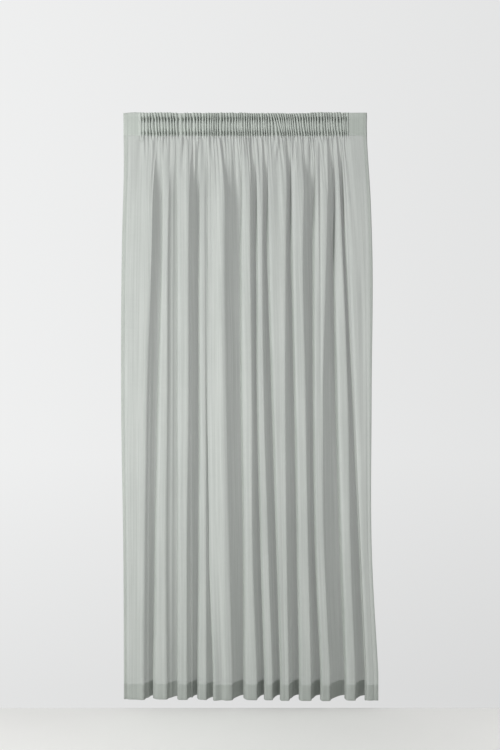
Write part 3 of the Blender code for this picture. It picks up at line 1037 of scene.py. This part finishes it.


# The backdrop: how bright it is seen, through the cloth, and through the cloth's foot, where it is
# painted shade
SKY_SEEN, SKY_SHADED, SKY_FOOT_SHADE = 0.83, 0.58, 0.36
SKY_FOOT_FROM, SKY_FOOT_TO = -0.10, -0.36  # how far down the view looks
SKY_SHADE_TO_RIGHT = -0.15  # how much less of it is seen to the right, as painted shade
SKY_SHADE_LOW = 0.89  # the share of it that is seen where the view looks lowest, as painted shade
SKY_LIGHT = 0.22
SKY_SLOPE = (-0.20, -0.14, 0.32)  # how the light grows to the right, the back and the top
SKY_COLOUR, SKY_LIGHT_COLOUR = (0.985, 0.99, 0.99, 1), (1.0, 1.0, 1.0, 1)


def make_world():
    """A pale backdrop, which lights the cloth less than it shows, and more from the left
    front. Through the cloth it shows darker, as a wall in the curtain's shade does."""
    world = bpy.data.worlds.new("studio")
    bpy.context.scene.world = world
    nodes = Nodes(world)
    path = nodes.add("ShaderNodeLightPath")
    way = nodes.add("ShaderNodeTexCoord").outputs["Generated"]
    level = nodes.add("ShaderNodeSeparateXYZ", {"Vector": way})
    lean = nodes.add("ShaderNodeVectorMath", {0: way, 1: SKY_SLOPE}, operation="DOT_PRODUCT")
    strength = nodes.add(
        "ShaderNodeMath", {0: lean.outputs["Value"], 1: SKY_LIGHT}, operation="ADD", use_clamp=True
    )
    # Painted shade: the backdrop is seen darker to the right, low down, and through the cloth's
    # foot.
    across = nodes.add(
        "ShaderNodeMath",
        {0: level.outputs["X"], 1: SKY_SHADE_TO_RIGHT, 2: SKY_SEEN},
        operation="MULTIPLY_ADD",
    )
    lowered, shaded = (
        nodes.add(
            "ShaderNodeMapRange",
            {
                "Value": level.outputs["Z"],
                "From Min": SKY_FOOT_FROM,
                "From Max": SKY_FOOT_TO,
                "To Min": high,
                "To Max": low,
            },
        )
        for high, low in ((1.0, SKY_SHADE_LOW), (SKY_SHADED, SKY_FOOT_SHADE))
    )
    wall = nodes.math("MULTIPLY", across.outputs[0], lowered.outputs[0])
    shade = nodes.add(
        "ShaderNodeMapRange",
        {"Value": path.outputs["Transparent Depth"], "To Min": wall, "To Max": shaded.outputs[0]},
    )
    seen = nodes.add("ShaderNodeBackground", {"Color": SKY_COLOUR, "Strength": shade.outputs[0]})
    light = nodes.add(
        "ShaderNodeBackground", {"Color": SKY_LIGHT_COLOUR, "Strength": strength.outputs[0]}
    )
    mix = nodes.add(
        "ShaderNodeMixShader",
        {"Fac": path.outputs["Is Camera Ray"], 1: light.outputs[0], 2: seen.outputs[0]},
    )
    nodes.add("ShaderNodeOutputWorld", {"Surface": mix.outputs[0]})


make_camera()
bpy.context.scene.view_settings.view_transform = "Standard"

cord, route = make_cord()
panel = make_panel()
tape = make_tape()
stitches = make_stitches()

VOILE_DARK, VOILE_LIGHT = (0.470, 0.508, 0.472), (0.590, 0.628, 0.590)
TAPE_DARK, TAPE_LIGHT = (0.70, 0.72, 0.71), (0.78, 0.80, 0.79)
THREAD, CORD = (0.38, 0.42, 0.39), (0.03, 0.04, 0.035)

# The doubled heading is painted lighter, as painted light, and the doubled hem darker, as painted
# shade. Both are also closer.
VOILE_PAINTED_BANDS = (
    # height on the flat cloth, above it, more lightness (painted), more cover
    (TAPE_FOOT, True, 0.09, 0.10),
    (HEM_DEPTH - DROP, False, -0.16, 0.12),
)

panel.data.materials.append(
    cloth_material(
        "voile",
        VOILE_DARK,
        VOILE_LIGHT,
        cover=0.70,
        threads=2000,
        translucent=0.28,
        rough=0.70,
        painted_bands=VOILE_PAINTED_BANDS,
    )
)
tape.data.materials.append(
    cloth_material(
        "tape_weave",
        TAPE_DARK,
        TAPE_LIGHT,
        cover=0.62,
        threads=1200,
        translucent=0.30,
        rough=0.75,
    )
)
stitches.data.materials.append(thread_material("sewing_thread", THREAD, sheen=0.2))
cord.data.materials.append(thread_material("braided_cord", CORD, sheen=0.0))

for piece, node, slot in (
    (panel, "voile_panel", "voile"),
    (tape, "heading_tape", "tape"),
    (cord, "draw_cord_loop", "cord"),
    (stitches, None, "voile"),
):
    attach(piece, "root")
    if node:
        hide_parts(node)

make_floor()
make_lamps()
make_world()
